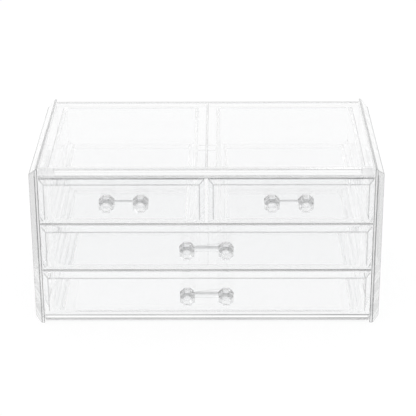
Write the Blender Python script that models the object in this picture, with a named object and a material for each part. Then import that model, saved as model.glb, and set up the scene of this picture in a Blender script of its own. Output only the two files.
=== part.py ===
# Clear plastic jewellery drawers: a bevelled housing with two small drawers above two wide ones.
# Lengths are in metres. The fronts of the drawers face -Y and the housing rests on Z = 0.

import math

import bmesh
import bpy
from mathutils import Vector

# Housing
HOUSING_WIDTH = 0.238
HOUSING_DEPTH = 0.138
HOUSING_HEIGHT = 0.115
SIDE_THICKNESS = 0.0065
PLATE_THICKNESS = 0.00625
BACK_THICKNESS = 0.003
SHELF_THICKNESS = 0.0015
DIVIDER_THICKNESS = 0.0015
PLATE_REAR_INSET = 0.0015
SHELF_FRONT_INSET = 0.0006
SEAM = 0.0003

# Bevels on the outer edges of the housing, all cut at 45 degrees
SIDE_TOP_BEVEL = 0.0052
SIDE_FRONT_BEVEL = 0.0045
SIDE_BOTTOM_BEVEL = 0.0036
SIDE_REAR_BEVEL = 0.0048
TOP_FRONT_BEVEL = 0.0039
TOP_REAR_BEVEL = 0.0045
BOTTOM_FRONT_BEVEL = 0.0036
BOTTOM_REAR_BEVEL = 0.0036

# Drawers
FRONT_RECESS = 0.0003
FRONT_THICKNESS = 0.003
FRONT_BEVEL_WIDTH = 0.0048
FRONT_RAISE = 0.0026
FRONT_SIDE_CLEARANCE = 0.0004
FRONT_TOP_CLEARANCE = 0.0005
RUNNING_CLEARANCE = 0.0003
TRAY_SIDE_INSET = 0.005
TRAY_WALL = 0.003
TRAY_FLOOR = 0.0025
TRAY_TOP_DROP = 0.0015
TRAY_REAR_CLEARANCE = 0.003
TRAY_OUTER_RADIUS = 0.0048
TRAY_INNER_RADIUS = 0.0052
CORNER_STEPS = 4

# Handles
KNOB_BACK_GAP = 0.0003
KNOB_NECK_APOTHEM = 0.0036
KNOB_WIDE_APOTHEM = 0.0053
KNOB_RIM_APOTHEM = 0.0049
KNOB_WIDE_REACH = 0.0025
KNOB_RIM_REACH = 0.0098
HANDLE_REACH = 0.0121
KNOB_DISC_RADIUS = 0.00295
KNOB_SIDES = 8
STEPS_PER_SIDE = 3
SMALL_KNOB_PITCH = 0.0226
WIDE_KNOB_PITCH = 0.0263
KNOB_RISE = 0.0015
SMALL_HANDLE_SHIFT = 0.0017
SMALL_BAR_RADIUS = 0.0014
WIDE_BAR_RADIUS = 0.0021
BAR_REACH = 0.0026
BAR_STEPS = 16
PEG_RADIUS = 0.002
PEG_LENGTH = 0.0028
PEG_CLEARANCE = 0.0003
PEG_STEPS = 20
CUT_OVERRUN = 0.001

# Values that follow from the sizes above
FRONT_PLANE = (HANDLE_REACH + FRONT_RAISE - FRONT_RECESS - HOUSING_DEPTH) / 2
REAR_PLANE = FRONT_PLANE + HOUSING_DEPTH
BAY_HALF_WIDTH = HOUSING_WIDTH / 2 - SIDE_THICKNESS
BAY_BOTTOM = PLATE_THICKNESS
BAY_TOP = HOUSING_HEIGHT - PLATE_THICKNESS
PLATE_REAR = REAR_PLANE - PLATE_REAR_INSET
BACK_FACE = PLATE_REAR - BACK_THICKNESS
ROW_HEIGHT = (BAY_TOP - BAY_BOTTOM - 2 * SHELF_THICKNESS) / 3
LOWER_SHELF_Z = BAY_BOTTOM + ROW_HEIGHT
UPPER_SHELF_Z = LOWER_SHELF_Z + SHELF_THICKNESS + ROW_HEIGHT
UPPER_ROW_Z = UPPER_SHELF_Z + SHELF_THICKNESS
MIDDLE_ROW_Z = LOWER_SHELF_Z + SHELF_THICKNESS
SMALL_BAY_WIDTH = BAY_HALF_WIDTH - DIVIDER_THICKNESS / 2
SMALL_BAY_CENTRE = DIVIDER_THICKNESS / 2 + SMALL_BAY_WIDTH / 2


def clear_scene():
    for old in list(bpy.data.objects):
        bpy.data.objects.remove(old, do_unlink=True)


def clear_plastic(name, colour):
    material = bpy.data.materials.new(name)
    material.use_nodes = True
    shader = material.node_tree.nodes["Principled BSDF"]
    shader.inputs["Base Color"].default_value = (*colour, 1.0)
    shader.inputs["Roughness"].default_value = 0.04
    shader.inputs["Metallic"].default_value = 0.0
    shader.inputs["IOR"].default_value = 1.49
    shader.inputs["Transmission Weight"].default_value = 0.9
    return material


def object_from(name, shape, material):
    bmesh.ops.recalc_face_normals(shape, faces=shape.faces[:])
    mesh = bpy.data.meshes.new(name)
    shape.to_mesh(mesh)
    shape.free()
    made = bpy.data.objects.new(name, mesh)
    made.data.materials.append(material)
    bpy.context.scene.collection.objects.link(made)
    return made


def block(low, high):
    shape = bmesh.new()
    bmesh.ops.create_cube(shape, size=1.0)
    for corner in shape.verts:
        for axis in range(3):
            corner.co[axis] = high[axis] if corner.co[axis] > 0 else low[axis]
    return shape


def slice_off(shape, point, direction):
    """Cuts away what lies beyond the plane through point and closes the cut."""
    cut = bmesh.ops.bisect_plane(
        shape,
        geom=shape.verts[:] + shape.edges[:] + shape.faces[:],
        plane_co=point,
        plane_no=direction,
        clear_outer=True,
    )
    edges = [item for item in cut["geom_cut"] if isinstance(item, bmesh.types.BMEdge)]
    bmesh.ops.contextual_create(shape, geom=edges)


def ring(shape, corners):
    return [shape.verts.new(corner) for corner in corners]


def close_between(shape, first, second):
    count = len(first)
    for i in range(count):
        j = (i + 1) % count
        shape.faces.new((first[i], first[j], second[j], second[i]))


def stack_rings(rings):
    """A closed solid through rings of the same number of corners."""
    shape = bmesh.new()
    made = [ring(shape, corners) for corners in rings]
    for first, second in zip(made, made[1:]):
        close_between(shape, first, second)
    shape.faces.new(made[0])
    shape.faces.new(made[-1])
    return shape


def cut_with(target, cutter):
    cutter.hide_render = True
    cutter.display_type = "WIRE"
    step = target.modifiers.new("cut_" + cutter.name, "BOOLEAN")
    step.operation = "DIFFERENCE"
    step.solver = "EXACT"
    step.object = cutter


def join_with(target, extra):
    extra.hide_render = True
    extra.display_type = "WIRE"
    step = target.modifiers.new("join_" + extra.name, "BOOLEAN")
    step.operation = "UNION"
    step.solver = "EXACT"
    step.object = extra


def side_panel(name, sign, material):
    """A thick wall whose four outer edges are bevelled."""
    outer = sign * HOUSING_WIDTH / 2
    inner = sign * BAY_HALF_WIDTH
    low = (min(outer, inner), FRONT_PLANE, 0.0)
    high = (max(outer, inner), REAR_PLANE, HOUSING_HEIGHT)
    shape = block(low, high)
    cuts = (
        (Vector((outer, 0.0, HOUSING_HEIGHT - SIDE_TOP_BEVEL)), Vector((sign, 0.0, 1.0))),
        (Vector((outer, 0.0, SIDE_BOTTOM_BEVEL)), Vector((sign, 0.0, -1.0))),
        (Vector((outer, FRONT_PLANE + SIDE_FRONT_BEVEL, 0.0)), Vector((sign, -1.0, 0.0))),
        (Vector((outer, REAR_PLANE - SIDE_REAR_BEVEL, 0.0)), Vector((sign, 1.0, 0.0))),
    )
    for point, direction in cuts:
        slice_off(shape, point, direction)
    return object_from(name, shape, material)


def bevelled_plate(name, bottom, top, up, front_bevel, rear_bevel, material):
    """The top or bottom plate, bevelled along its outer front and rear edges."""
    half_width = BAY_HALF_WIDTH - SEAM
    shape = block((-half_width, FRONT_PLANE, bottom), (half_width, PLATE_REAR, top))
    outer = top if up > 0 else bottom
    slice_off(shape, Vector((0.0, FRONT_PLANE + front_bevel, outer)), Vector((0.0, -1.0, up)))
    slice_off(shape, Vector((0.0, PLATE_REAR - rear_bevel, outer)), Vector((0.0, 1.0, up)))
    return object_from(name, shape, material)


def build_housing(material):
    side_panel("left_side_panel", -1, material)
    side_panel("right_side_panel", 1, material)
    bevelled_plate(
        "top_panel", BAY_TOP, HOUSING_HEIGHT, 1.0, TOP_FRONT_BEVEL, TOP_REAR_BEVEL, material
    )
    bevelled_plate(
        "bottom_panel", 0.0, BAY_BOTTOM, -1.0, BOTTOM_FRONT_BEVEL, BOTTOM_REAR_BEVEL, material
    )
    half_width = BAY_HALF_WIDTH - SEAM
    back = block(
        (-half_width, BACK_FACE, BAY_BOTTOM + SEAM),
        (half_width, PLATE_REAR, BAY_TOP - SEAM),
    )
    object_from("back_panel", back, material)
    shelf_front = FRONT_PLANE + SHELF_FRONT_INSET
    shelf_rear = BACK_FACE - SEAM
    for name, height in (("upper_shelf", UPPER_SHELF_Z), ("lower_shelf", LOWER_SHELF_Z)):
        shelf = block(
            (-half_width, shelf_front, height),
            (half_width, shelf_rear, height + SHELF_THICKNESS),
        )
        object_from(name, shelf, material)
    divider = block(
        (-DIVIDER_THICKNESS / 2, shelf_front, UPPER_ROW_Z + SEAM),
        (DIVIDER_THICKNESS / 2, shelf_rear, BAY_TOP - SEAM),
    )
    object_from("centre_divider", divider, material)


def rounded_trough(half_width, bottom, top, radius):
    """The outline of a trough: square at the top and rounded along its two lower corners."""
    points = [(half_width, top), (-half_width, top)]
    for side, start in ((-1, 0.0), (1, math.pi / 2)):
        centre = side * (half_width - radius)
        for step in range(CORNER_STEPS + 1):
            angle = start + step * math.pi / 2 / CORNER_STEPS
            across = centre - radius * math.cos(angle)
            up = bottom + radius - radius * math.sin(angle)
            points.append((across, up))
    return points


def trough_solid(outline, near, far):
    rings = [[Vector((x, near, z)) for x, z in outline], [Vector((x, far, z)) for x, z in outline]]
    return stack_rings(rings)


def build_tray(name, bay_width, place, material):
    """An open tray with a wall left and right, a wall behind and a rounded lower edge."""
    half_width = bay_width / 2 - FRONT_SIDE_CLEARANCE - TRAY_SIDE_INSET
    near = FRONT_THICKNESS + SEAM
    far = BACK_FACE - FRONT_PLANE - FRONT_RECESS - TRAY_REAR_CLEARANCE
    top = ROW_HEIGHT - FRONT_TOP_CLEARANCE - TRAY_TOP_DROP
    outline = rounded_trough(half_width, RUNNING_CLEARANCE, top, TRAY_OUTER_RADIUS)
    tray = object_from(name, trough_solid(outline, near, far), material)
    hollow = rounded_trough(
        half_width - TRAY_WALL, RUNNING_CLEARANCE + TRAY_FLOOR, top + CUT_OVERRUN, TRAY_INNER_RADIUS
    )
    cutter = object_from(
        name + "_hollow", trough_solid(hollow, near - CUT_OVERRUN, far - TRAY_WALL), material
    )
    tray.location = place
    cutter.location = place
    cut_with(tray, cutter)
    return tray


def knob_centres(handle_shift, knob_pitch):
    """The two knob axes of a drawer, a little above the middle of its face."""
    up = ROW_HEIGHT / 2 + KNOB_RISE
    return [Vector((handle_shift + side * knob_pitch / 2, 0.0, up)) for side in (-1, 1)]


def build_front(name, bay_width, centres, place, material):
    """A plate whose raised face is bevelled all round, with two holes for the pegs of the handle."""
    half_width = bay_width / 2 - FRONT_SIDE_CLEARANCE
    bottom = RUNNING_CLEARANCE
    top = ROW_HEIGHT - FRONT_TOP_CLEARANCE

    def rectangle(depth, inset):
        wide = half_width - inset
        return [
            Vector((-wide, depth, bottom + inset)),
            Vector((wide, depth, bottom + inset)),
            Vector((wide, depth, top - inset)),
            Vector((-wide, depth, top - inset)),
        ]

    rings = [
        rectangle(-FRONT_RAISE, FRONT_BEVEL_WIDTH),
        rectangle(0.0, 0.0),
        rectangle(FRONT_THICKNESS, 0.0),
    ]
    front = object_from(name, stack_rings(rings), material)
    front.location = place
    for label, centre in zip(("left", "right"), centres):
        hole = stack_rings(
            (
                circle(centre, -FRONT_RAISE - CUT_OVERRUN, PEG_RADIUS + PEG_CLEARANCE, PEG_STEPS),
                circle(centre, FRONT_THICKNESS + CUT_OVERRUN, PEG_RADIUS + PEG_CLEARANCE, PEG_STEPS),
            )
        )
        cutter = object_from(name + "_" + label + "_hole", hole, material)
        cutter.location = place
        cut_with(front, cutter)
    return front


def circle(centre, depth, radius, steps):
    """Corners of a circle around the Y axis through centre."""
    corners = []
    for step in range(steps):
        angle = 2 * math.pi * (step + 0.5) / steps
        across = centre.x + radius * math.cos(angle)
        up = centre.z + radius * math.sin(angle)
        corners.append(Vector((across, depth, up)))
    return corners


def octagon(centre, depth, apothem):
    """Corners of a regular octagon with flat top, each side split into equal steps."""
    radius = apothem / math.cos(math.pi / KNOB_SIDES)
    tips = []
    for tip in range(KNOB_SIDES):
        angle = 2 * math.pi * (tip + 0.5) / KNOB_SIDES
        tips.append(Vector((centre.x + radius * math.cos(angle), depth, centre.z + radius * math.sin(angle))))
    corners = []
    for tip in range(KNOB_SIDES):
        following = tips[(tip + 1) % KNOB_SIDES]
        for step in range(STEPS_PER_SIDE):
            corners.append(tips[tip].lerp(following, step / STEPS_PER_SIDE))
    return corners


def disc(centre, depth, radius):
    """Corners of a circle that start level with the first corner of the octagon."""
    count = KNOB_SIDES * STEPS_PER_SIDE
    corners = []
    for step in range(count):
        angle = 2 * math.pi * (0.5 / KNOB_SIDES + step / count)
        corners.append(
            Vector((centre.x + radius * math.cos(angle), depth, centre.z + radius * math.sin(angle)))
        )
    return corners


def build_handle(name, centres, bar_radius, place, material):
    """Two faceted knobs, the bar between them and the pegs behind them, moulded as one."""
    face = -FRONT_RAISE
    parts = []
    for label, centre in zip(("left", "right"), centres):
        knob = stack_rings(
            (
                octagon(centre, face - KNOB_BACK_GAP, KNOB_NECK_APOTHEM),
                octagon(centre, face - KNOB_WIDE_REACH, KNOB_WIDE_APOTHEM),
                octagon(centre, face - KNOB_RIM_REACH, KNOB_RIM_APOTHEM),
                disc(centre, face - HANDLE_REACH, KNOB_DISC_RADIUS),
            )
        )
        parts.append(object_from(name + "_" + label + "_knob", knob, material))
        peg = stack_rings(
            (
                circle(centre, face - KNOB_WIDE_REACH, PEG_RADIUS, PEG_STEPS),
                circle(centre, PEG_LENGTH, PEG_RADIUS, PEG_STEPS),
            )
        )
        parts.append(object_from(name + "_" + label + "_peg", peg, material))
    bar_rings = []
    for centre, inward in zip(centres, (1, -1)):
        across = centre.x + inward * KNOB_NECK_APOTHEM
        corners = []
        for step in range(BAR_STEPS):
            angle = 2 * math.pi * (step + 0.5) / BAR_STEPS
            depth = face - BAR_REACH + bar_radius * math.cos(angle)
            up = centre.z + bar_radius * math.sin(angle)
            corners.append(Vector((across, depth, up)))
        bar_rings.append(corners)
    handle = object_from(name, stack_rings(bar_rings), material)
    handle.location = place
    for part in parts:
        part.location = place
        join_with(handle, part)
    return handle


def build_drawer(name, bay_width, centre, bottom, centres, bar_radius, materials):
    place = Vector((centre, FRONT_PLANE + FRONT_RECESS, bottom))
    build_tray(name + "_tray", bay_width, place, materials["tray"])
    build_front(name + "_front", bay_width, centres, place, materials["front"])
    build_handle(name + "_handle", centres, bar_radius, place, materials["handle"])


clear_scene()
HOUSING_MATERIAL = clear_plastic("housing_plastic", (0.93, 0.95, 0.955))
DRAWER_MATERIALS = {
    "tray": clear_plastic("tray_plastic", (0.95, 0.96, 0.965)),
    "front": clear_plastic("front_plastic", (0.94, 0.955, 0.96)),
    "handle": clear_plastic("handle_plastic", (0.9, 0.92, 0.925)),
}
WIDE_BAY_WIDTH = 2 * BAY_HALF_WIDTH
LEFT_KNOBS = knob_centres(SMALL_HANDLE_SHIFT, SMALL_KNOB_PITCH)
RIGHT_KNOBS = knob_centres(-SMALL_HANDLE_SHIFT, SMALL_KNOB_PITCH)
WIDE_KNOBS = knob_centres(0.0, WIDE_KNOB_PITCH)
DRAWERS = (
    ("upper_left", SMALL_BAY_WIDTH, -SMALL_BAY_CENTRE, UPPER_ROW_Z, LEFT_KNOBS, SMALL_BAR_RADIUS),
    ("upper_right", SMALL_BAY_WIDTH, SMALL_BAY_CENTRE, UPPER_ROW_Z, RIGHT_KNOBS, SMALL_BAR_RADIUS),
    ("middle", WIDE_BAY_WIDTH, 0.0, MIDDLE_ROW_Z, WIDE_KNOBS, WIDE_BAR_RADIUS),
    ("lower", WIDE_BAY_WIDTH, 0.0, BAY_BOTTOM, WIDE_KNOBS, WIDE_BAR_RADIUS),
)
build_housing(HOUSING_MATERIAL)
for drawer in DRAWERS:
    build_drawer(*drawer, DRAWER_MATERIALS)
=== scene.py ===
# %% [markdown]
# # Clear plastic jewellery drawers
# This lesson dresses a small chest of clear plastic drawers. A clear object has almost no colour of its own.
# What the eye reads is the bright room behind it and a thin line at every edge, so the work goes into clean
# shapes with softened edges, into the painted shade of each edge, and into what stands around the object.
# The first cell loads the object's solids, which set every size and carry the motion of the drawers.

import math

import bmesh
import bpy
from mathutils import Matrix, Vector


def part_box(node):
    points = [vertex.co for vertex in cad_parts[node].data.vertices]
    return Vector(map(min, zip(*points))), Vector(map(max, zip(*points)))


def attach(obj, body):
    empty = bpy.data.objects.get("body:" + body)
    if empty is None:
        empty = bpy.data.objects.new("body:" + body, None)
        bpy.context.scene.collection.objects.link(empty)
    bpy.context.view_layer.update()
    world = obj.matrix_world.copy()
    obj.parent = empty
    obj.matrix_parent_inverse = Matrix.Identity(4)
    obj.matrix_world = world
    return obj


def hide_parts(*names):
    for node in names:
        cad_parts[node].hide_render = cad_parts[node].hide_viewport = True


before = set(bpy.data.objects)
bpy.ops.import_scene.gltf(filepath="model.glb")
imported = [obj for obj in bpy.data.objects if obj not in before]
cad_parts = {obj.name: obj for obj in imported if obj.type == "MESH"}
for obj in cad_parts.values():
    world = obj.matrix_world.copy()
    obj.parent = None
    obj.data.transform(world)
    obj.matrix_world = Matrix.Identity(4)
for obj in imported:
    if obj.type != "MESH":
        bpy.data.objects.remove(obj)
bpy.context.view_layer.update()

# %% [markdown]
# ## Small tools for the shapes
# Every piece starts as a cube between two corners. A plane slices off what lies outside a bevel, or only
# draws a line across the faces. Sharp edges then get a narrow rounding, because moulded and cemented plastic
# is polished and has no perfectly sharp edge.

# %% Blocks, slices and soft edges
EDGE_SOFTNESS = 0.00042
SOFT_SEGMENTS = 3
SHARP_DEGREES = 25.0


def in_mm(length):
    return round(length * 1000, 3)


def new_block(low, high):
    shape = bmesh.new()
    size = Vector(high) - Vector(low)
    middle = (Vector(high) + Vector(low)) / 2
    place = Matrix.Translation(middle) @ Matrix.Diagonal((*size, 1.0))
    bmesh.ops.create_cube(shape, size=1.0, matrix=place)
    return shape


def cut_along(shape, point, direction, clear_outer=False):
    """Cuts every face along a plane, and clears what lies beyond it if asked. Returns the new edges."""
    everything = shape.verts[:] + shape.edges[:] + shape.faces[:]
    cut = bmesh.ops.bisect_plane(
        shape, geom=everything, plane_co=point, plane_no=direction, clear_outer=clear_outer
    )
    return [item for item in cut["geom_cut"] if isinstance(item, bmesh.types.BMEdge)]


def slice_off(shape, point, direction):
    """Takes off what lies beyond a plane and closes the cut with a face."""
    edges = cut_along(shape, point, direction, clear_outer=True)
    bmesh.ops.contextual_create(shape, geom=edges)


def round_edges(shape, edges, width, segments):
    bmesh.ops.bevel(
        shape, geom=edges, offset=width, segments=segments, profile=0.5, affect="EDGES", material=-1,
        clamp_overlap=True,
    )


def soften(shape, width, sharper_than=SHARP_DEGREES):
    """Rounds every edge whose faces meet at more than the given angle, in degrees."""
    limit = math.radians(sharper_than)
    edges = [edge for edge in shape.edges if edge.is_manifold and edge.calc_face_angle() > limit]
    round_edges(shape, edges, width, SOFT_SEGMENTS)


def mesh_object(name, shape):
    bmesh.ops.recalc_face_normals(shape, faces=shape.faces[:])
    mesh = bpy.data.meshes.new(name)
    shape.to_mesh(mesh)
    shape.free()
    made = bpy.data.objects.new(name, mesh)
    bpy.context.scene.collection.objects.link(made)
    return made


print("edges are rounded by", in_mm(EDGE_SOFTNESS), "mm in", SOFT_SEGMENTS, "steps")

# %% [markdown]
# ## Joining and cutting
# A drawer's face has holes, a tray is hollow, and a handle is one moulding of several round and faceted
# shapes. The Boolean modifier does this exactly. Its result is read back into a bmesh, double corners are
# merged and flat neighbours are joined, so that later steps find clean faces.

# %% Boolean steps
MERGE_DISTANCE = 0.000001
FLAT_DEGREES = 0.5


def combine(shape, others, operation):
    """Cuts the other shapes from this one, or joins them to it, and returns the new bmesh."""
    body = mesh_object("work_body", shape)
    helpers = []
    for other in others:
        helper = mesh_object("work_helper", other)
        step = body.modifiers.new("step", "BOOLEAN")
        step.operation = operation
        step.solver = "EXACT"
        step.object = helper
        helpers.append(helper)
    bpy.context.view_layer.update()
    evaluated = body.evaluated_get(bpy.context.evaluated_depsgraph_get())
    result = bmesh.new()
    result.from_mesh(evaluated.to_mesh())
    evaluated.to_mesh_clear()
    for extra in helpers + [body]:
        bpy.data.objects.remove(extra, do_unlink=True)
    bmesh.ops.remove_doubles(result, verts=result.verts[:], dist=MERGE_DISTANCE)
    bmesh.ops.dissolve_limit(
        result, angle_limit=math.radians(FLAT_DEGREES), verts=result.verts[:], edges=result.edges[:]
    )
    return result


print("corners closer than", MERGE_DISTANCE, "metres are merged")

# %% [markdown]
# ## Shading and edge lines
# The strips of a rounding are shaded smooth, and the wide faces beside them stay flat, so the plates look
# true. An edge of real clear plastic shows as a thin grey line, because its rounding bends the view into the
# darker parts of the room. This studio is white almost everywhere, so that line is painted: each face
# carries a number, the share of painted shade that darkens its colour, and the material reads it. A share of
# 0 leaves a face clear.

# %% Smooth strips and painted edge shade
FLAT_WIDTH = 0.0013
EDGE_STRIP = 0.00034
SMOOTH_ANGLE = math.radians(35.0)
# Painted shade: how dark seams, outlines and other edge lines are painted, for the refracted dark room.
PAINTED_SEAM_SHADE = 0.9
PAINTED_OUTLINE_SHADE = 0.35
FAINT_PAINTED_SHADE = 0.08


def strip_width(face):
    return face.calc_area() / max(edge.calc_length() for edge in face.edges)


def is_strip(face, limit=EDGE_STRIP):
    return strip_width(face) < limit


def shade_by_width(shape):
    """Smooth shading across the narrow strips of a rounding; wide faces stay flat up to their edges."""
    flat = {face: strip_width(face) > FLAT_WIDTH for face in shape.faces}
    for face in shape.faces:
        face.smooth = True
    for edge in shape.edges:
        sharp = edge.calc_face_angle(math.pi) > SMOOTH_ANGLE
        edge.smooth = not (sharp or any(flat[face] for face in edge.link_faces))


def paint_edge_shade(shape, painted_shade_of):
    """Stores the painted shade of every face, which stands in for the dark room that its rounding refracts.
    The shader takes the square root of its colour at each surface that light passes, so the stored number
    allows for that."""
    layer = shape.faces.layers.float.new("edge")
    for face in shape.faces:
        face[layer] = 1.0 - (1.0 - painted_shade_of(face)) ** 2


print("edge tones:", PAINTED_SEAM_SHADE, "at seams,", PAINTED_OUTLINE_SHADE, "on outlines,", FAINT_PAINTED_SHADE, "elsewhere")

# %% [markdown]
# ## Clear plastic
# Clear acrylic bends light about as much as window glass does. The Principled shader with full transmission
# gives both the bending and the mirror-like gloss. Moulding leaves a faint waviness and handling a faint
# haze, so one node group puts out a height, a roughness and a painted edge shade that change over the
# surface.
# A lamp's ray would need to be bent too, which takes the renderer many samples, so for shadow rays only the
# material turns into a lightly tinted film. That gives the pale shadow of a real clear box.

# %% Moulded surface and painted shade node group
EDGE_FROST = 0.12
GROUP_INPUTS = (
    ("Vector", "NodeSocketVector"),
    ("Edge", "NodeSocketFloat"),
    ("Haze", "NodeSocketFloat"),
    ("Wave Scale", "NodeSocketFloat"),
    ("Haze Scale", "NodeSocketFloat"),
)


def surface_and_painted_shade_group():
    group = bpy.data.node_groups.new("moulding_and_painted_shade", "ShaderNodeTree")
    for socket, kind in GROUP_INPUTS:
        group.interface.new_socket(name=socket, in_out="INPUT", socket_type=kind)
    for socket in ("Height", "Roughness", "Painted Edge Shade"):
        group.interface.new_socket(name=socket, in_out="OUTPUT", socket_type="NodeSocketFloat")
    nodes, links = group.nodes, group.links
    source = nodes.new("NodeGroupInput")
    target = nodes.new("NodeGroupOutput")
    wave = nodes.new("ShaderNodeTexNoise")
    wave.inputs["Detail"].default_value = 1.0
    haze = nodes.new("ShaderNodeTexNoise")
    haze.inputs["Detail"].default_value = 5.0
    haze.inputs["Roughness"].default_value = 0.6
    rough = nodes.new("ShaderNodeMapRange")
    rough.inputs["From Min"].default_value = 0.35
    rough.inputs["From Max"].default_value = 0.75
    rough.inputs["To Min"].default_value = 0.0
    frost = nodes.new("ShaderNodeMath")
    frost.operation = "MULTIPLY_ADD"
    frost.inputs[1].default_value = EDGE_FROST
    # Painted shade: wave noise spreads the painted edge shade between 85 and 100 percent of its value.
    shade_spread = nodes.new("ShaderNodeMapRange")
    shade_spread.inputs["From Min"].default_value = 0.3
    shade_spread.inputs["From Max"].default_value = 0.7
    shade_spread.inputs["To Min"].default_value = 0.85
    shade_spread.inputs["To Max"].default_value = 1.0
    # The edge attribute times that spread gives the painted edge shade.
    edge = nodes.new("ShaderNodeMath")
    edge.operation = "MULTIPLY"
    links.new(source.outputs["Vector"], wave.inputs["Vector"])
    links.new(source.outputs["Wave Scale"], wave.inputs["Scale"])
    links.new(source.outputs["Vector"], haze.inputs["Vector"])
    links.new(source.outputs["Haze Scale"], haze.inputs["Scale"])
    links.new(haze.outputs["Fac"], rough.inputs["Value"])
    links.new(source.outputs["Haze"], rough.inputs["To Max"])
    links.new(source.outputs["Edge"], frost.inputs[0])
    links.new(rough.outputs["Result"], frost.inputs[2])
    links.new(wave.outputs["Fac"], shade_spread.inputs["Value"])
    links.new(shade_spread.outputs["Result"], edge.inputs[0])
    links.new(source.outputs["Edge"], edge.inputs[1])
    links.new(wave.outputs["Fac"], target.inputs["Height"])
    links.new(frost.outputs[0], target.inputs["Roughness"])
    links.new(edge.outputs[0], target.inputs["Painted Edge Shade"])
    return group


SURFACE_AND_SHADE = surface_and_painted_shade_group()
print("node group:", SURFACE_AND_SHADE.name)

# %% [markdown]
# ## One clear plastic for each kind of piece
# The housing, the trays, the fronts and the handles are moulded apart from each other, so each has its own
# batch of plastic: how much light it lets through, how hazy it is, and how long and high its waves are.

# %% Clear plastic material
PLASTIC_IOR = 1.5
# Near-black colour that the painted edge shade mixes in, in place of the refracted dark surroundings.
PAINTED_SHADE_GREY = (0.005, 0.005, 0.006)


def clear_plastic(name, colour, haze, wave_scale, wave_height, haze_scale, shadow_tint):
    material = bpy.data.materials.new(name)
    material.use_nodes = True
    nodes, links = material.node_tree.nodes, material.node_tree.links
    shader = nodes["Principled BSDF"]
    shader.inputs["IOR"].default_value = PLASTIC_IOR
    shader.inputs["Transmission Weight"].default_value = 1.0
    place = nodes.new("ShaderNodeTexCoord")
    surface = nodes.new("ShaderNodeGroup")
    surface.node_tree = SURFACE_AND_SHADE
    surface.inputs["Haze"].default_value = haze
    surface.inputs["Wave Scale"].default_value = wave_scale
    surface.inputs["Haze Scale"].default_value = haze_scale
    # The plastic's own tint is mixed towards the painted shade grey by the painted edge shade.
    painted_shade_mix = nodes.new("ShaderNodeMix")
    painted_shade_mix.data_type = "RGBA"
    painted_shade_mix.inputs["A"].default_value = (*colour, 1.0)
    painted_shade_mix.inputs["B"].default_value = (*PAINTED_SHADE_GREY, 1.0)
    # Reads the face attribute that holds each face's painted shade.
    edges = nodes.new("ShaderNodeAttribute")
    edges.attribute_name = "edge"
    bump = nodes.new("ShaderNodeBump")
    bump.inputs["Strength"].default_value = 1.0
    bump.inputs["Distance"].default_value = wave_height
    film = nodes.new("ShaderNodeBsdfTransparent")
    film.inputs["Color"].default_value = (*shadow_tint, 1.0)
    rays = nodes.new("ShaderNodeLightPath")
    pick = nodes.new("ShaderNodeMixShader")
    links.new(place.outputs["Object"], surface.inputs["Vector"])
    links.new(edges.outputs["Fac"], surface.inputs["Edge"])
    links.new(surface.outputs["Painted Edge Shade"], painted_shade_mix.inputs["Factor"])
    links.new(painted_shade_mix.outputs["Result"], shader.inputs["Base Color"])
    links.new(surface.outputs["Roughness"], shader.inputs["Roughness"])
    links.new(surface.outputs["Height"], bump.inputs["Height"])
    links.new(bump.outputs["Normal"], shader.inputs["Normal"])
    links.new(rays.outputs["Is Shadow Ray"], pick.inputs["Fac"])
    links.new(shader.outputs["BSDF"], pick.inputs[1])
    links.new(film.outputs["BSDF"], pick.inputs[2])
    links.new(pick.outputs["Shader"], nodes["Material Output"].inputs["Surface"])
    return material


PLASTIC = {
    "housing_plastic": clear_plastic(
        "housing_clear", colour=(0.982, 0.983, 0.984), haze=0.02, wave_scale=14.0, wave_height=0.000003,
        haze_scale=60.0, shadow_tint=(0.95, 0.955, 0.96),
    ),
    "tray_plastic": clear_plastic(
        "tray_clear", colour=(0.996, 0.997, 0.998), haze=0.06, wave_scale=22.0, wave_height=0.000003,
        haze_scale=80.0, shadow_tint=(0.96, 0.965, 0.97),
    ),
    "front_plastic": clear_plastic(
        "front_clear", colour=(0.945, 0.947, 0.949), haze=0.02, wave_scale=18.0, wave_height=0.000002,
        haze_scale=70.0, shadow_tint=(0.96, 0.965, 0.97),
    ),
    "handle_plastic": clear_plastic(
        "handle_clear", colour=(0.985, 0.987, 0.99), haze=0.02, wave_scale=260.0, wave_height=0.00001,
        haze_scale=400.0, shadow_tint=(0.93, 0.94, 0.95),
    ),
}
print("materials:", ", ".join(PLASTIC))

# %% [markdown]
# ## From shape to piece
# A finished shape is shaded, given its painted edge shade and made an object. It then takes the place of its
# solid, and rides on the body that the solid belongs to, so a drawer's pieces all slide together.


# %% Finish a piece
def finish_piece(node, body, slot, shape, painted_shade_of):
    """Puts the finished piece in the place of its solid, on the body that it moves with."""
    shade_by_width(shape)
    paint_edge_shade(shape, painted_shade_of)
    made = mesh_object(node + "_piece", shape)
    made.data.materials.append(PLASTIC[slot])
    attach(made, body)
    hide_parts(node)
    print(node, "faces:", len(made.data.polygons))
    return made


# %% [markdown]
# ## The side walls
# Two thick side walls carry the housing. Their outer edges are bevelled at 45 degrees, and these bevels draw
# the double outline of the real chest, with painted shade on the bevels and roundings. Each wall is a block
# with four slices taken off, so the bevels meet in clean mitres at the corners. A line cut along the foot of
# the upper bevel leaves a narrow band there, which gets a painted shade of its own, because that is where
# the wall's outline runs.

# %% Side walls
WALL_SOFTNESS = 0.0007
WALL_STRIP = 0.00045
SIDE_BEVEL_TOP = 0.0052
SIDE_BEVEL_FRONT = 0.0045
SIDE_BEVEL_BOTTOM = 0.0036
SIDE_BEVEL_REAR = 0.0048
# Painted shade levels for the walls' bevels, band and roundings, for the dark room they refract.
SIDE_BEVEL_PAINTED_SHADE = 0.15
WALL_FRONT_PAINTED_SHADE = 0.7
TOP_EDGE_PAINTED_SHADE = 0.42
SILHOUETTE_PAINTED_SHADE = 0.6
SILHOUETTE_WIDTH = 0.0009
SLANTED = 0.5
SQUARE = 0.9


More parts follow.
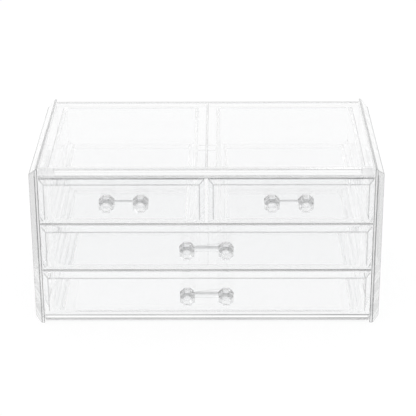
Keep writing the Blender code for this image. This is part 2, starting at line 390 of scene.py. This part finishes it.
def build_side_wall(node, sign):
    low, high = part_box(node)
    outer = high.x if sign > 0 else low.x
    inner = low.x if sign > 0 else high.x
    band_top = high.z - SIDE_BEVEL_TOP + SILHOUETTE_WIDTH
    shape = new_block(low, high)
    slice_off(shape, Vector((outer, 0.0, high.z - SIDE_BEVEL_TOP)), Vector((sign, 0.0, 1.0)))
    slice_off(shape, Vector((outer, 0.0, low.z + SIDE_BEVEL_BOTTOM)), Vector((sign, 0.0, -1.0)))
    slice_off(shape, Vector((outer, low.y + SIDE_BEVEL_FRONT, 0.0)), Vector((sign, -1.0, 0.0)))
    slice_off(shape, Vector((outer, high.y - SIDE_BEVEL_REAR, 0.0)), Vector((sign, 1.0, 0.0)))
    soften(shape, WALL_SOFTNESS)
    cut_along(shape, Vector((0.0, 0.0, band_top)), Vector((0.0, 0.0, 1.0)))

    # Painted shade of each face of the wall.
    def painted_shade_of(face):
        place = face.calc_center_median()
        if face.normal.z > SLANTED and abs(face.normal.x) > SLANTED and place.z < band_top:
            return SILHOUETTE_PAINTED_SHADE
        if not is_strip(face, WALL_STRIP):
            slants_across = abs(face.normal.x) < SQUARE and abs(face.normal.y) > SLANTED
            return SIDE_BEVEL_PAINTED_SHADE if slants_across else 0.0
        if abs(place.x - inner) < WALL_SOFTNESS and place.y < low.y + WALL_SOFTNESS:
            return PAINTED_SEAM_SHADE
        if place.z > high.z - SIDE_BEVEL_TOP - WALL_SOFTNESS:
            return TOP_EDGE_PAINTED_SHADE
        return WALL_FRONT_PAINTED_SHADE if place.y < low.y + SIDE_BEVEL_FRONT + WALL_SOFTNESS else 0.0

    return finish_piece(node, "housing", "housing_plastic", shape, painted_shade_of)


build_side_wall("left_side_panel", -1)
build_side_wall("right_side_panel", 1)

# %% [markdown]
# ## The top and bottom plates
# The plates close the housing above and below. Each has a bevel at the front and one at the rear, on its
# outer side, and the seam under the top plate is painted as the darkest line of the whole chest, a painted
# shade for the dark gap there. As on the walls, a band beside the rear bevel gets its own painted shade,
# because the rear outline is seen at such a low angle that the rounding alone would be too thin to see.

# %% Top and bottom plates
PLATE_BEVEL_FRONT = {"top_panel": 0.0039, "bottom_panel": 0.0036}
PLATE_BEVEL_REAR = {"top_panel": 0.0045, "bottom_panel": 0.0036}
REAR_BAND = 0.0013
# Painted shade for the band beside the rear bevel and for the bevel under the front of the bottom plate.
REAR_PAINTED_SHADE = 0.4
BASE_BEVEL_PAINTED_SHADE = 0.4
UPWARD = 0.7
SIDEWAYS = 0.3
SMALL = 0.00001


def build_plate(node, up):
    low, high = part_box(node)
    outer = high.z if up > 0 else low.z
    inner = low.z if up > 0 else high.z
    middle = (low.y + high.y) / 2
    band_front = high.y - PLATE_BEVEL_REAR[node] - REAR_BAND
    shape = new_block(low, high)
    slice_off(shape, Vector((0.0, low.y + PLATE_BEVEL_FRONT[node], outer)), Vector((0.0, -1.0, up)))
    slice_off(shape, Vector((0.0, high.y - PLATE_BEVEL_REAR[node], outer)), Vector((0.0, 1.0, up)))
    soften(shape, EDGE_SOFTNESS)
    cut_along(shape, Vector((0.0, band_front, 0.0)), Vector((0.0, 1.0, 0.0)))

    def painted_shade_of(face):
        place = face.calc_center_median()
        in_band = place.z > outer - SMALL - EDGE_SOFTNESS and place.y > band_front
        if in_band and face.normal.z > UPWARD:
            return REAR_PAINTED_SHADE
        if not is_strip(face):
            under_front = face.normal.y < -SLANTED and face.normal.z < -SLANTED
            return BASE_BEVEL_PAINTED_SHADE if under_front else 0.0
        if abs(face.normal.x) > SIDEWAYS or place.y > middle:
            return 0.0
        return PAINTED_SEAM_SHADE if up < 0 or abs(place.z - inner) < EDGE_SOFTNESS else 0.0

    return finish_piece(node, "housing", "housing_plastic", shape, painted_shade_of)


build_plate("top_panel", 1)
build_plate("bottom_panel", -1)

# %% [markdown]
# ## The back, the shelves and the divider
# These are plain sheets with lightly rounded edges. Between two drawers only the front edge of a shelf
# shows, as a thin grey line of painted shade, and through the top plate the divider shows as a line of
# painted shade that runs to the back.

# %% Back, shelves and divider
SHEET_SOFTNESS = 0.00025
# Painted shade for the shelves' front edges and the divider's upper edge.
SHELF_EDGE_PAINTED_SHADE = 0.45
DIVIDER_PAINTED_SHADE = 0.8


def build_sheet(node):
    low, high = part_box(node)
    shape = new_block(low, high)
    soften(shape, SHEET_SOFTNESS)

    def painted_shade_of(face):
        if face.normal.y < -SLANTED and node.endswith("shelf"):
            return PAINTED_SEAM_SHADE if is_strip(face) else SHELF_EDGE_PAINTED_SHADE
        upper_edge = face.calc_center_median().z > high.z - SHEET_SOFTNESS
        return DIVIDER_PAINTED_SHADE if node == "centre_divider" and upper_edge and is_strip(face) else 0.0

    return finish_piece(node, "housing", "housing_plastic", shape, painted_shade_of)


for sheet in ("back_panel", "upper_shelf", "lower_shelf", "centre_divider"):
    build_sheet(sheet)

# %% [markdown]
# ## The trays
# A tray is an open box whose long lower edges are rounded inside and out, which is how such trays leave
# their mould. The outside is a block with two rounded edges, the hollow is a second such block, and one is
# cut from the other. The hollow runs out through the front, where the drawer's face closes it. The rims next
# to the side walls carry a dark painted shade, because they draw the long lines that show through the top.

# %% Tray shape
TRAY_WALL = 0.003
TRAY_FLOOR = 0.0025
TRAY_OUTER_RADIUS = 0.0048
TRAY_INNER_RADIUS = 0.0052
TRAY_SEGMENTS = 8
CUT_OVERRUN = 0.001


def round_lower_edges(shape, radius):
    """Rounds the two lowest edges that run along Y."""
    lowest = min(corner.co.z for corner in shape.verts)
    edges = [
        edge
        for edge in shape.edges
        if all(abs(corner.co.z - lowest) < EDGE_SOFTNESS for corner in edge.verts)
        and abs(edge.verts[0].co.x - edge.verts[1].co.x) < EDGE_SOFTNESS
    ]
    round_edges(shape, edges, radius, TRAY_SEGMENTS)


def build_tray(drawer):
    node = drawer + "_tray"
    low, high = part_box(node)
    outside = new_block(low, high)
    round_lower_edges(outside, TRAY_OUTER_RADIUS)
    hollow = new_block(
        (low.x + TRAY_WALL, low.y - CUT_OVERRUN, low.z + TRAY_FLOOR),
        (high.x - TRAY_WALL, high.y - TRAY_WALL, high.z + CUT_OVERRUN),
    )
    round_lower_edges(hollow, TRAY_INNER_RADIUS)
    shape = combine(outside, [hollow], "DIFFERENCE")
    soften(shape, EDGE_SOFTNESS)
    wall_middle = max(-low.x, high.x) - TRAY_WALL / 2

    # Painted shade on the outer rims' roundings, for the long lines seen through the top.
    def painted_shade_of(face):
        place = face.calc_center_median()
        outer_rim = abs(place.x) > wall_middle and place.z > high.z - TRAY_WALL
        return PAINTED_SEAM_SHADE if outer_rim and is_strip(face) else 0.0

    return finish_piece(node, drawer + "_drawer", "tray_plastic", shape, painted_shade_of)


print("a tray has walls of", in_mm(TRAY_WALL), "mm and a floor of", in_mm(TRAY_FLOOR), "mm")

# %% [markdown]
# ## The drawer faces
# Each face is a thick plate that stands out in the middle and falls away in a shallow bevel all round, like
# the edge of a mirror. Inset gives the inner rectangle, and the rim around it is then pushed back. The edges
# are softened before the holes for the handle's pegs are cut, because the many small edges of a hole would
# otherwise hold every rounding down to their own size.

# %% Face shape
FACE_BEVEL_WIDTH = 0.0048
FACE_RAISE = 0.0026
PEG_RADIUS = 0.002
PEG_CLEARANCE = 0.0003
KNOB_WIDE = 0.0053
ROUND_STRIP = 0.00036


def round_segments(radius):
    """How many steps a circle needs for strips of about the usual width, as a multiple of four."""
    return 4 * int(math.pi * radius / (2 * ROUND_STRIP))


def new_cylinder(centre, radius, start, end):
    """A cylinder that runs along Y from start to end."""
    shape = bmesh.new()
    turn = Matrix.Rotation(math.pi / 2, 4, "X")
    place = Matrix.Translation(Vector((centre.x, (start + end) / 2, centre.z)))
    bmesh.ops.create_cone(
        shape, cap_ends=True, segments=round_segments(radius), radius1=radius, radius2=radius,
        depth=abs(end - start), matrix=place @ turn,
    )
    return shape


def knob_places(drawer):
    """The two knob centres of a drawer, from the span of its handle."""
    low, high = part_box(drawer + "_handle")
    middle = (low.z + high.z) / 2
    return [Vector((x, 0.0, middle)) for x in (low.x + KNOB_WIDE, high.x - KNOB_WIDE)]


def build_face(drawer):
    node = drawer + "_front"
    low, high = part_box(node)
    shape = new_block(low, high)
    front = [face for face in shape.faces if face.normal.y < -SQUARE]
    bmesh.ops.inset_region(shape, faces=front, thickness=FACE_BEVEL_WIDTH, depth=0.0)
    rim = [
        corner
        for corner in shape.verts
        if corner.co.y < low.y + SMALL and min(corner.co.x - low.x, high.x - corner.co.x) < SMALL
    ]
    bmesh.ops.translate(shape, verts=rim, vec=(0.0, FACE_RAISE, 0.0))
    soften(shape, EDGE_SOFTNESS)
    holes = [
        new_cylinder(place, PEG_RADIUS + PEG_CLEARANCE, low.y - CUT_OVERRUN, high.y + CUT_OVERRUN)
        for place in knob_places(drawer)
    ]
    shape = combine(shape, holes, "DIFFERENCE")

    # Painted shade per face: the top edge of an upper drawer as a seam, the bevel outlines as grey lines.
    def painted_shade_of(face):
        place = face.calc_center_median()
        if not is_strip(face):
            return 0.0
        if high.z - place.z < EDGE_SOFTNESS:
            return PAINTED_SEAM_SHADE if drawer.startswith("upper") else 0.0
        if place.z - low.z < FACE_BEVEL_WIDTH + EDGE_SOFTNESS:
            return 0.0
        from_side = min(abs(place.x - low.x), abs(place.x - high.x))
        return PAINTED_OUTLINE_SHADE if from_side > EDGE_SOFTNESS else FAINT_PAINTED_SHADE

    return finish_piece(node, drawer + "_drawer", "front_plastic", shape, painted_shade_of)


print("a face stands out by", in_mm(FACE_RAISE), "mm inside a bevel", in_mm(FACE_BEVEL_WIDTH), "mm wide")

# %% [markdown]
# ## The knobs
# A knob is cut like a gem. It starts as an octagon that is extruded forward and scaled at each step, so its
# flats turn into long facets, and the edges between the facets are only just broken.

# %% Knob shape
FACET_SOFTNESS = 0.0002
FACET_DEGREES = 8.0
KNOB_SIDES = 8
KNOB_GAP = 0.0003
KNOB_NECK = 0.0036
KNOB_RIM = 0.0049
KNOB_CROWN = 0.0033
KNOB_WIDE_REACH = 0.0025
KNOB_RIM_REACH = 0.0098
KNOB_CROWN_REACH = 0.0118
KNOB_STEPS = ((KNOB_RIM, KNOB_RIM_REACH), (KNOB_CROWN, KNOB_CROWN_REACH))


def new_knob(centre, face_y):
    shape = bmesh.new()
    start, end = face_y - KNOB_GAP, face_y - KNOB_WIDE_REACH
    flat_top = Matrix.Rotation(math.pi / KNOB_SIDES, 4, "Z")
    to_front = Matrix.Rotation(math.pi / 2, 4, "X")
    corner = 1.0 / math.cos(math.pi / KNOB_SIDES)
    place = Matrix.Translation(Vector((centre.x, (start + end) / 2, centre.z)))
    bmesh.ops.create_cone(
        shape, cap_ends=True, segments=KNOB_SIDES, radius1=KNOB_NECK * corner, radius2=KNOB_WIDE * corner,
        depth=start - end, matrix=place @ to_front @ flat_top,
    )
    front = [face for face in shape.faces if abs(face.calc_center_median().y - end) < SMALL]
    width, reach = KNOB_WIDE, KNOB_WIDE_REACH
    for next_width, next_reach in KNOB_STEPS:
        front = bmesh.ops.extrude_discrete_faces(shape, faces=front)["faces"]
        corners = list(front[0].verts)
        bmesh.ops.translate(shape, verts=corners, vec=(0.0, reach - next_reach, 0.0))
        share = next_width / width
        pivot = Matrix.Translation((-centre.x, -(face_y - next_reach), -centre.z))
        bmesh.ops.scale(shape, verts=corners, vec=(share, 1.0, share), space=pivot)
        width, reach = next_width, next_reach
    bmesh.ops.recalc_face_normals(shape, faces=shape.faces[:])
    soften(shape, FACET_SOFTNESS, sharper_than=FACET_DEGREES)
    return shape


print("a knob is", in_mm(2 * KNOB_WIDE), "mm across and has", KNOB_SIDES, "sides")

# %% [markdown]
# ## The handles
# A handle is one moulding: two knobs, the bar between them, a peg behind each knob that passes into the
# drawer's face, and a raised disc in front of each. The union of these shapes has the real seams. The
# glitter
# of a cut knob seen from above is painted: the facets that face up get a light painted shade, the slanted
# ones beside them a darker one, and the edges between them the darkest. The upper side of the bar is painted
# darker too.

# %% Handle shape
HANDLE_REACH = 0.0121
PEG_LENGTH = 0.0028
DISC_RADIUS = 0.00295
BAR_REACH = 0.0026
BAR_RADIUS = {"upper_left": 0.0014, "upper_right": 0.0014, "middle": 0.0021, "lower": 0.0021}
# Painted shade for the bar's upper side, the knobs' facet edges, their upward facets and slanted facets.
BAR_PAINTED_SHADE = 0.35
FACET_EDGE_PAINTED_SHADE = 0.6
TOP_FACET_PAINTED_SHADE = 0.14
SLANT_FACET_PAINTED_SHADE = 0.4
SLANT_FACET = 0.35


def new_bar(places, radius, face_y):
    start, end = places[0].x + KNOB_NECK, places[1].x - KNOB_NECK
    turn = Matrix.Rotation(math.pi / 2, 4, "Y")
    centre = Vector(((start + end) / 2, face_y - BAR_REACH, places[0].z))
    bar = bmesh.new()
    bmesh.ops.create_cone(
        bar, cap_ends=True, segments=round_segments(radius), radius1=radius, radius2=radius,
        depth=end - start, matrix=Matrix.Translation(centre) @ turn,
    )
    return bar


def build_handle(drawer):
    node = drawer + "_handle"
    low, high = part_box(node)
    face_y = low.y + HANDLE_REACH
    peg_end = face_y + FACE_RAISE + PEG_LENGTH
    places = knob_places(drawer)
    bar = new_bar(places, BAR_RADIUS[drawer], face_y)
    parts = []
    for place in places:
        parts.append(new_knob(place, face_y))
        parts.append(new_cylinder(place, PEG_RADIUS, face_y - KNOB_WIDE_REACH, peg_end))
        parts.append(new_cylinder(place, DISC_RADIUS, face_y - KNOB_RIM_REACH, face_y - HANDLE_REACH))
    shape = combine(bar, parts, "UNION")

    def painted_shade_of(face):
        place = face.calc_center_median()
        if face.normal.y < -SQUARE or face.normal.z < -SIDEWAYS:
            return 0.0
        if places[0].x + KNOB_WIDE < place.x < places[1].x - KNOB_WIDE:
            return BAR_PAINTED_SHADE if face.normal.z > SLANT_FACET else 0.0
        if is_strip(face):
            return FACET_EDGE_PAINTED_SHADE
        if face.normal.z > SQUARE:
            return TOP_FACET_PAINTED_SHADE
        return SLANT_FACET_PAINTED_SHADE if face.normal.z > SLANT_FACET else FAINT_PAINTED_SHADE

    return finish_piece(node, drawer + "_drawer", "handle_plastic", shape, painted_shade_of)


print("a handle stands out by", in_mm(HANDLE_REACH), "mm")

# %% [markdown]
# ## The four drawers
# Two small drawers share the top row and two wide ones lie below. They differ only in size, which comes from
# their solids, so one loop builds them all.

# %% Build the four drawers
for drawer in ("upper_left", "upper_right", "middle", "lower"):
    build_tray(drawer)
    build_face(drawer)
    build_handle(drawer)

# %% [markdown]
# ## The floor
# A clear object shows its surroundings, so the floor is part of its look. It is a plain pale sheet. Where it
# is seen, directly or through the plastic, it glows white and takes only a faint shadow. For all other light
# it is an ordinary matt surface.

# %% Floor
FLOOR_HALF_SIZE = 3.0
FLOOR_GREY = 0.9
FLOOR_GLOW = 0.9
SEEN_GREY = 0.12


def linked_math(nodes, links, operation, first, second):
    """Adds a Math node fed by two sockets and returns its output."""
    made = nodes.new("ShaderNodeMath")
    made.operation = operation
    links.new(first, made.inputs[0])
    links.new(second, made.inputs[1])
    return made.outputs[0]


def matt_shader(nodes, grey):
    matt = nodes.new("ShaderNodeBsdfDiffuse")
    matt.inputs["Color"].default_value = (grey, grey, grey, 1.0)
    return matt.outputs[0]


def make_floor(half_size):
    shape = bmesh.new()
    bmesh.ops.create_grid(shape, x_segments=1, y_segments=1, size=half_size)
    floor = mesh_object("floor", shape)
    material = bpy.data.materials.new("pale_floor")
    material.use_nodes = True
    nodes, links = material.node_tree.nodes, material.node_tree.links
    nodes.remove(nodes["Principled BSDF"])
    glow = nodes.new("ShaderNodeEmission")
    glow.inputs["Color"].default_value = (1.0, 1.0, 1.0, 1.0)
    glow.inputs["Strength"].default_value = FLOOR_GLOW
    both = nodes.new("ShaderNodeAddShader")
    rays = nodes.new("ShaderNodeLightPath").outputs
    mirrored = linked_math(nodes, links, "MAXIMUM", rays["Is Camera Ray"], rays["Is Glossy Ray"])
    seen = linked_math(nodes, links, "MAXIMUM", mirrored, rays["Is Transmission Ray"])
    pick = nodes.new("ShaderNodeMixShader")
    links.new(glow.outputs[0], both.inputs[0])
    links.new(matt_shader(nodes, SEEN_GREY), both.inputs[1])
    links.new(seen, pick.inputs["Fac"])
    links.new(matt_shader(nodes, FLOOR_GREY), pick.inputs[1])
    links.new(both.outputs[0], pick.inputs[2])
    links.new(pick.outputs[0], nodes["Material Output"].inputs["Surface"])
    floor.data.materials.append(material)
    return floor


make_floor(FLOOR_HALF_SIZE)
print("floor is", 2 * FLOOR_HALF_SIZE, "metres across")

# %% [markdown]
# ## The sky
# The room is white all round, with four broad areas that are a little darker: towards the viewer, overhead
# and at either side. Flat walls look through to white, and facets and bevels, which bend the view away, pick
# up the grey. The background itself stays plain white, because camera rays skip the shading.

# %% Sky
WHITE_SHARE = 1.0
SKY_SHADES = (
    ((0.0, -1.0, 0.45), 60.0, 35.0, 0.9),
    ((0.0, 0.0, 1.0), 45.0, 20.0, 0.9),
    ((-1.0, 0.0, 0.1), 40.0, 20.0, 0.85),
    ((1.0, 0.0, 0.1), 40.0, 20.0, 0.85),
)


def shade_towards(nodes, links, ray, direction, start, end, darkest):
    """A factor that falls from white to the darkest level as a ray turns towards the given direction."""
    along = nodes.new("ShaderNodeVectorMath")
    along.operation = "DOT_PRODUCT"
    along.inputs[1].default_value = Vector(direction).normalized()
    fall = nodes.new("ShaderNodeMapRange")
    fall.interpolation_type = "SMOOTHSTEP"
    fall.inputs["From Min"].default_value = math.cos(math.radians(start))
    fall.inputs["From Max"].default_value = math.cos(math.radians(end))
    fall.inputs["To Min"].default_value = WHITE_SHARE
    fall.inputs["To Max"].default_value = darkest
    links.new(ray, along.inputs[0])
    links.new(along.outputs["Value"], fall.inputs["Value"])
    return fall.outputs["Result"]


def make_sky(shades):
    world = bpy.data.worlds.new("studio")
    bpy.context.scene.world = world
    world.use_nodes = True
    nodes, links = world.node_tree.nodes, world.node_tree.links
    ray = nodes.new("ShaderNodeTexCoord").outputs["Generated"]
    level = shade_towards(nodes, links, ray, *shades[0])
    for shade in shades[1:]:
        level = linked_math(nodes, links, "MULTIPLY", level, shade_towards(nodes, links, ray, *shade))
    camera_ray = nodes.new("ShaderNodeLightPath").outputs["Is Camera Ray"]
    shown = linked_math(nodes, links, "MAXIMUM", level, camera_ray)
    links.new(shown, nodes["Background"].inputs["Color"])
    return world


make_sky(SKY_SHADES)
print("sky has", len(SKY_SHADES), "darker areas")

# %% [markdown]
# ## The lamp
# One large, weak lamp from the upper left gives the faint shadow on the floor and the soft highlights on the
# knobs. The white room does the rest of the lighting.

# %% Lamp
LAMP_PLACE = (-0.7, -0.8, 1.1)
LAMP_TARGET = (0.0, 0.0, 0.05)
LAMP_SIZE = 0.8
LAMP_POWER = 3.0


def soft_lamp(name, place, target, size, power):
    lamp = bpy.data.lights.new(name, "AREA")
    lamp.shape = "DISK"
    lamp.size = size
    lamp.energy = power
    holder = bpy.data.objects.new(name, lamp)
    bpy.context.scene.collection.objects.link(holder)
    holder.location = place
    holder.rotation_euler = (Vector(target) - Vector(place)).to_track_quat("-Z", "Y").to_euler()
    return holder


soft_lamp("key_lamp", LAMP_PLACE, LAMP_TARGET, LAMP_SIZE, LAMP_POWER)
print("lamp:", LAMP_POWER, "watts over", LAMP_SIZE, "metres")

# %% [markdown]
# ## The camera
# The view is from a little over a metre away and about 24 degrees above the table, with a long lens, which
# keeps the upright edges almost parallel. Light that is caught between the two sides of a clear plate
# bounces many times before it gets out, and a path that is ended too early leaves a black streak, so the
# number of bounces is high.

# %% Camera
CAMERA_PLACE = (0.0105, -1.0028, 0.5043)
CAMERA_DOWN = 23.912
CAMERA_TURN = 0.573
CAMERA_LEAN = -0.305
LENS_LENGTH = 132.8
SENSOR_WIDTH = 36.0
LIGHT_BOUNCES = 200

lens = bpy.data.cameras.new("view_camera")
lens.lens = LENS_LENGTH
lens.sensor_width = SENSOR_WIDTH
lens.clip_start = 0.05
lens.clip_end = 20.0
camera = bpy.data.objects.new("view_camera", lens)
bpy.context.scene.collection.objects.link(camera)
tilt = Matrix.Rotation(math.radians(90.0 - CAMERA_DOWN), 4, "X")
turn = Matrix.Rotation(math.radians(CAMERA_TURN), 4, "Z")
lean = Matrix.Rotation(math.radians(CAMERA_LEAN), 4, "Z")
camera.matrix_world = Matrix.Translation(CAMERA_PLACE) @ turn @ tilt @ lean
bpy.context.scene.camera = camera
bpy.context.scene.view_settings.view_transform = "Standard"
bpy.context.scene.cycles.max_bounces = LIGHT_BOUNCES
bpy.context.scene.cycles.transmission_bounces = LIGHT_BOUNCES
bpy.context.scene.cycles.glossy_bounces = LIGHT_BOUNCES
bpy.context.scene.cycles.transparent_max_bounces = LIGHT_BOUNCES
print("camera looks down by", CAMERA_DOWN, "degrees through a", LENS_LENGTH, "mm lens")
